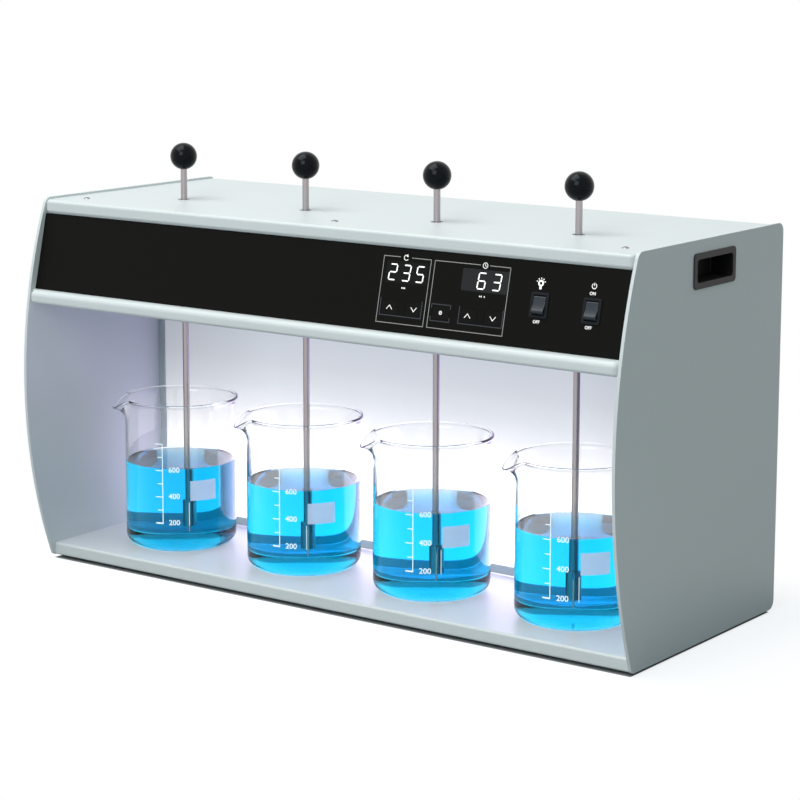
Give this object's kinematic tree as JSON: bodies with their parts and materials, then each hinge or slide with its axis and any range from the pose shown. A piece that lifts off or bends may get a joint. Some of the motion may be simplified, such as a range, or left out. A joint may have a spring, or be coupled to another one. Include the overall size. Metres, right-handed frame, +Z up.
{
  "type": "jar tester",
  "caption": "Bench stirrer cabinet for flocculation tests: glass beakers in a lit bay, belt-driven stirrers with ball knobs, sloping control fascia.",
  "frame": {"origin": "on the bench, under the middle of the overall width and depth", "axes": "+X along the front to the viewer's right, +Y to the back, +Z up"},
  "size_m": [0.6474, 0.275, 0.398],
  "materials": {
    "cabinet_paint": "satin powder coat, pale grey-green",
    "fascia_black": "satin black overlay",
    "black_plastic": "fine grain",
    "rocker_plastic": "semi-gloss",
    "knob_plastic": "polished phenolic",
    "rubber": "matt",
    "frame_grey": "satin",
    "stainless": "fine turned",
    "zinc_steel": "bright zinc",
    "alloy": "machined",
    "bronze": "sintered",
    "opal_diffuser": "opal, lit from behind",
    "lamp_white": "matt white",
    "led_board": "matt",
    "circuit_board": "solder mask",
    "display_window": "smoked window",
    "belt_rubber": "matt",
    "beaker_glass": "clear borosilicate",
    "test_liquid": "blue test water, drawn only in the pictures"
  },
  "bodies": {
    "cabinet": {"side_plate_left": "cabinet_paint", "side_plate_right": "cabinet_paint", "handle_left": "black_plastic", "handle_right": "black_plastic", "top_cover": "cabinet_paint", "head_floor": "cabinet_paint", "fascia_panel": "fascia_black", "base_tray": "cabinet_paint", "feet": "rubber", "rear_panel": "cabinet_paint", "light_frame": "frame_grey", "diffuser": "opal_diffuser", "light_box": "lamp_white", "led_strips": "led_board", "panel_screws": "zinc_steel", "drive_beam": "alloy", "bearing_housings": "alloy", "spindle_bushes": "bronze", "drive_belts": "belt_rubber", "motor": "black_plastic", "gearbox": "zinc_steel", "control_board": "circuit_board", "speed_display": "display_window", "time_display": "display_window", "light_switch": "black_plastic", "power_switch": "black_plastic", "power_supply": "alloy", "mains_inlet": "black_plastic"},
    "motor_rotor": {"motor_pulley": "alloy"},
    "key_speed_up_cap": {"key_speed_up": "fascia_black"},
    "key_speed_down_cap": {"key_speed_down": "fascia_black"},
    "key_time_up_cap": {"key_time_up": "fascia_black"},
    "key_time_down_cap": {"key_time_down": "fascia_black"},
    "key_set_cap": {"key_set": "fascia_black"},
    "light_rocker_body": {"light_rocker": "rocker_plastic"},
    "power_rocker_body": {"power_rocker": "rocker_plastic"},
    "drive_1": {"spindle_1": "zinc_steel", "pulley_1": "alloy"},
    "stirrer_1": {"rod_1": "stainless", "knob_1": "knob_plastic", "paddle_1": "stainless"},
    "jar_1": {"beaker_1": "beaker_glass"},
    "drive_2": {"spindle_2": "zinc_steel", "pulley_2": "alloy"},
    "stirrer_2": {"rod_2": "stainless", "knob_2": "knob_plastic", "paddle_2": "stainless"},
    "jar_2": {"beaker_2": "beaker_glass"},
    "drive_3": {"spindle_3": "zinc_steel", "pulley_3": "alloy"},
    "stirrer_3": {"rod_3": "stainless", "knob_3": "knob_plastic", "paddle_3": "stainless"},
    "jar_3": {"beaker_3": "beaker_glass"},
    "drive_4": {"spindle_4": "zinc_steel", "pulley_4": "alloy"},
    "stirrer_4": {"rod_4": "stainless", "knob_4": "knob_plastic", "paddle_4": "stainless"},
    "jar_4": {"beaker_4": "beaker_glass"}
  },
  "joints": [
    {"name": "spindle_1_turn", "type": "hinge", "parent": "cabinet", "child": "drive_1", "pos_m": [-0.2175, -0.0275, 0.288], "axis": [0, 0, 1], "continuous": true},
    {"name": "spindle_2_turn", "type": "hinge", "parent": "cabinet", "child": "drive_2", "pos_m": [-0.0725, -0.0275, 0.288], "axis": [0, 0, 1], "continuous": true},
    {"name": "spindle_3_turn", "type": "hinge", "parent": "cabinet", "child": "drive_3", "pos_m": [0.0725, -0.0275, 0.288], "axis": [0, 0, 1], "continuous": true},
    {"name": "spindle_4_turn", "type": "hinge", "parent": "cabinet", "child": "drive_4", "pos_m": [0.2175, -0.0275, 0.288], "axis": [0, 0, 1], "continuous": true},
    {"name": "motor_turn", "type": "hinge", "parent": "cabinet", "child": "motor_rotor", "pos_m": [0, 0.0305, 0.288], "axis": [0, 0, 1], "continuous": true},
    {"name": "stirrer_1_lift", "type": "slide", "parent": "drive_1", "child": "stirrer_1", "axis": [0, 0, 1], "range_m": [-0.008, 0.185]},
    {"name": "stirrer_2_lift", "type": "slide", "parent": "drive_2", "child": "stirrer_2", "axis": [0, 0, 1], "range_m": [-0.008, 0.185]},
    {"name": "stirrer_3_lift", "type": "slide", "parent": "drive_3", "child": "stirrer_3", "axis": [0, 0, 1], "range_m": [-0.008, 0.185]},
    {"name": "stirrer_4_lift", "type": "slide", "parent": "drive_4", "child": "stirrer_4", "axis": [0, 0, 1], "range_m": [-0.008, 0.185]},
    {"name": "jar_1_lift", "type": "slide", "parent": "cabinet", "child": "jar_1", "axis": [0, 0, 1], "range_m": [0, 0.006]},
    {"name": "jar_2_lift", "type": "slide", "parent": "cabinet", "child": "jar_2", "axis": [0, 0, 1], "range_m": [0, 0.006]},
    {"name": "jar_3_lift", "type": "slide", "parent": "cabinet", "child": "jar_3", "axis": [0, 0, 1], "range_m": [0, 0.006]},
    {"name": "jar_4_lift", "type": "slide", "parent": "cabinet", "child": "jar_4", "axis": [0, 0, 1], "range_m": [0, 0.006]},
    {"name": "key_speed_up_press", "type": "slide", "parent": "cabinet", "child": "key_speed_up_cap", "axis": [0, 0.9744, -0.225], "range_m": [0, 0.0005], "stiffness_N_per_m": 600},
    {"name": "key_speed_down_press", "type": "slide", "parent": "cabinet", "child": "key_speed_down_cap", "axis": [0, 0.9744, -0.225], "range_m": [0, 0.0005], "stiffness_N_per_m": 600},
    {"name": "key_time_up_press", "type": "slide", "parent": "cabinet", "child": "key_time_up_cap", "axis": [0, 0.9744, -0.225], "range_m": [0, 0.0005], "stiffness_N_per_m": 600},
    {"name": "key_time_down_press", "type": "slide", "parent": "cabinet", "child": "key_time_down_cap", "axis": [0, 0.9744, -0.225], "range_m": [0, 0.0005], "stiffness_N_per_m": 600},
    {"name": "key_set_press", "type": "slide", "parent": "cabinet", "child": "key_set_cap", "axis": [0, 0.9744, -0.225], "range_m": [0, 0.0005], "stiffness_N_per_m": 600},
    {"name": "light_rocker_tip", "type": "hinge", "parent": "cabinet", "child": "light_rocker_body", "pos_m": [0.2355, -0.11194, 0.29686], "axis": [1, 0, 0], "range_deg": [0, 22]},
    {"name": "power_rocker_tip", "type": "hinge", "parent": "cabinet", "child": "power_rocker_body", "pos_m": [0.2852, -0.11194, 0.29686], "axis": [1, 0, 0], "range_deg": [0, 22]}
  ],
  "couplings": [
    {"joint": "spindle_2_turn", "follows": "spindle_1_turn", "ratio": 1},
    {"joint": "spindle_3_turn", "follows": "spindle_1_turn", "ratio": 1},
    {"joint": "spindle_4_turn", "follows": "spindle_1_turn", "ratio": 1},
    {"joint": "motor_turn", "follows": "spindle_1_turn", "ratio": 1.5}
  ]
}
